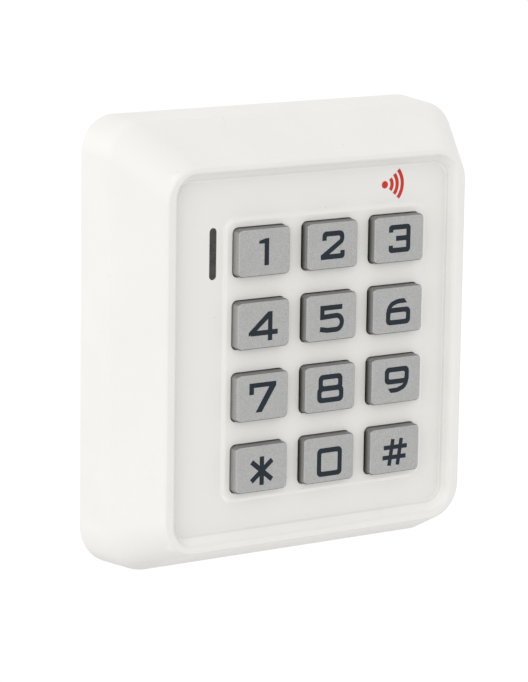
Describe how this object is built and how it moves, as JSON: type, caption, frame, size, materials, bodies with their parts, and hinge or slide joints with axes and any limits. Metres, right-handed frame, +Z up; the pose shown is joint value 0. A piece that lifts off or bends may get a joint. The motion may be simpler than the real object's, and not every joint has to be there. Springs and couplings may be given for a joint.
{
  "type": "keypad access reader",
  "caption": "Wall-mounted access reader with a raised numeric keypad in a sunken panel, a light-pipe indicator and a screw-on back plate.",
  "frame": {"origin": "centre of the back, on the wall plane, midway between the two wall-box screw slots", "axes": "+Z up, +X to the right seen from the front, +Y into the wall, so the front faces -Y"},
  "size_m": [0.0816, 0.0229, 0.0896],
  "materials": {
    "cover": "warm white moulded ABS with a fine satin texture",
    "back_plate": "off-white moulded ABS, plain satin",
    "key_paint": "silver-grey metallic paint on moulded plastic, finely grained",
    "silicone": "dark grey silicone rubber",
    "carbon": "black conductive carbon rubber",
    "smoked_window": "smoked translucent acrylic, polished",
    "led": "white package with a clear yellowish lens",
    "board": "green solder mask on glass-fibre laminate",
    "copper_wire": "enamelled copper winding",
    "black_plastic": "black moulded plastic",
    "chip_black": "black moulding compound with tinned legs",
    "capacitor_can": "bare aluminium can",
    "ceramic": "ceramic body with tinned ends",
    "steel_can": "nickel-plated can",
    "terminal_green": "green moulded polyamide",
    "steel": "zinc-plated steel",
    "plunger": "natural acetal"
  },
  "bodies": {
    "housing": {"front_cover": "cover", "back_plate": "back_plate", "keypad_mat": "silicone", "mat_domes": "silicone", "indicator_window": "smoked_window", "indicator_leds": "led", "main_board": "board", "antenna_coil": "copper_wire", "buzzer": "black_plastic", "microcontroller": "chip_black", "reader_chip": "chip_black", "line_driver": "chip_black", "voltage_regulator": "chip_black", "electrolytic_capacitors": "capacitor_can", "chip_components": "ceramic", "crystal": "steel_can", "terminal_block": "terminal_green", "terminal_screws": "steel", "tamper_switch": "black_plastic", "tamper_spring": "steel", "board_screws": "steel", "cover_screw": "steel"},
    "button_1": {"key_1": "key_paint", "contact_pill_1": "carbon"},
    "button_2": {"key_2": "key_paint", "contact_pill_2": "carbon"},
    "button_3": {"key_3": "key_paint", "contact_pill_3": "carbon"},
    "button_4": {"key_4": "key_paint", "contact_pill_4": "carbon"},
    "button_5": {"key_5": "key_paint", "contact_pill_5": "carbon"},
    "button_6": {"key_6": "key_paint", "contact_pill_6": "carbon"},
    "button_7": {"key_7": "key_paint", "contact_pill_7": "carbon"},
    "button_8": {"key_8": "key_paint", "contact_pill_8": "carbon"},
    "button_9": {"key_9": "key_paint", "contact_pill_9": "carbon"},
    "button_star": {"key_star": "key_paint", "contact_pill_star": "carbon"},
    "button_0": {"key_0": "key_paint", "contact_pill_0": "carbon"},
    "button_hash": {"key_hash": "key_paint", "contact_pill_hash": "carbon"},
    "tamper_pin": {"tamper_plunger": "plunger"}
  },
  "joints": [
    {"name": "press_1", "type": "slide", "parent": "housing", "child": "button_1", "axis": [0, 1, 0], "range_m": [0, 0.0012], "stiffness_N_per_m": 600, "springref_m": -0.0008, "deforming": ["mat_domes"]},
    {"name": "press_2", "type": "slide", "parent": "housing", "child": "button_2", "axis": [0, 1, 0], "range_m": [0, 0.0012], "stiffness_N_per_m": 600, "springref_m": -0.0008, "deforming": ["mat_domes"]},
    {"name": "press_3", "type": "slide", "parent": "housing", "child": "button_3", "axis": [0, 1, 0], "range_m": [0, 0.0012], "stiffness_N_per_m": 600, "springref_m": -0.0008, "deforming": ["mat_domes"]},
    {"name": "press_4", "type": "slide", "parent": "housing", "child": "button_4", "axis": [0, 1, 0], "range_m": [0, 0.0012], "stiffness_N_per_m": 600, "springref_m": -0.0008, "deforming": ["mat_domes"]},
    {"name": "press_5", "type": "slide", "parent": "housing", "child": "button_5", "axis": [0, 1, 0], "range_m": [0, 0.0012], "stiffness_N_per_m": 600, "springref_m": -0.0008, "deforming": ["mat_domes"]},
    {"name": "press_6", "type": "slide", "parent": "housing", "child": "button_6", "axis": [0, 1, 0], "range_m": [0, 0.0012], "stiffness_N_per_m": 600, "springref_m": -0.0008, "deforming": ["mat_domes"]},
    {"name": "press_7", "type": "slide", "parent": "housing", "child": "button_7", "axis": [0, 1, 0], "range_m": [0, 0.0012], "stiffness_N_per_m": 600, "springref_m": -0.0008, "deforming": ["mat_domes"]},
    {"name": "press_8", "type": "slide", "parent": "housing", "child": "button_8", "axis": [0, 1, 0], "range_m": [0, 0.0012], "stiffness_N_per_m": 600, "springref_m": -0.0008, "deforming": ["mat_domes"]},
    {"name": "press_9", "type": "slide", "parent": "housing", "child": "button_9", "axis": [0, 1, 0], "range_m": [0, 0.0012], "stiffness_N_per_m": 600, "springref_m": -0.0008, "deforming": ["mat_domes"]},
    {"name": "press_star", "type": "slide", "parent": "housing", "child": "button_star", "axis": [0, 1, 0], "range_m": [0, 0.0012], "stiffness_N_per_m": 600, "springref_m": -0.0008, "deforming": ["mat_domes"]},
    {"name": "press_0", "type": "slide", "parent": "housing", "child": "button_0", "axis": [0, 1, 0], "range_m": [0, 0.0012], "stiffness_N_per_m": 600, "springref_m": -0.0008, "deforming": ["mat_domes"]},
    {"name": "press_hash", "type": "slide", "parent": "housing", "child": "button_hash", "axis": [0, 1, 0], "range_m": [0, 0.0012], "stiffness_N_per_m": 600, "springref_m": -0.0008, "deforming": ["mat_domes"]},
    {"name": "tamper_slide", "type": "slide", "parent": "housing", "child": "tamper_pin", "axis": [0, 1, 0], "range_m": [0, 0.0015], "stiffness_N_per_m": 400, "springref_m": 0.0015, "deforming": ["tamper_spring"]}
  ]
}
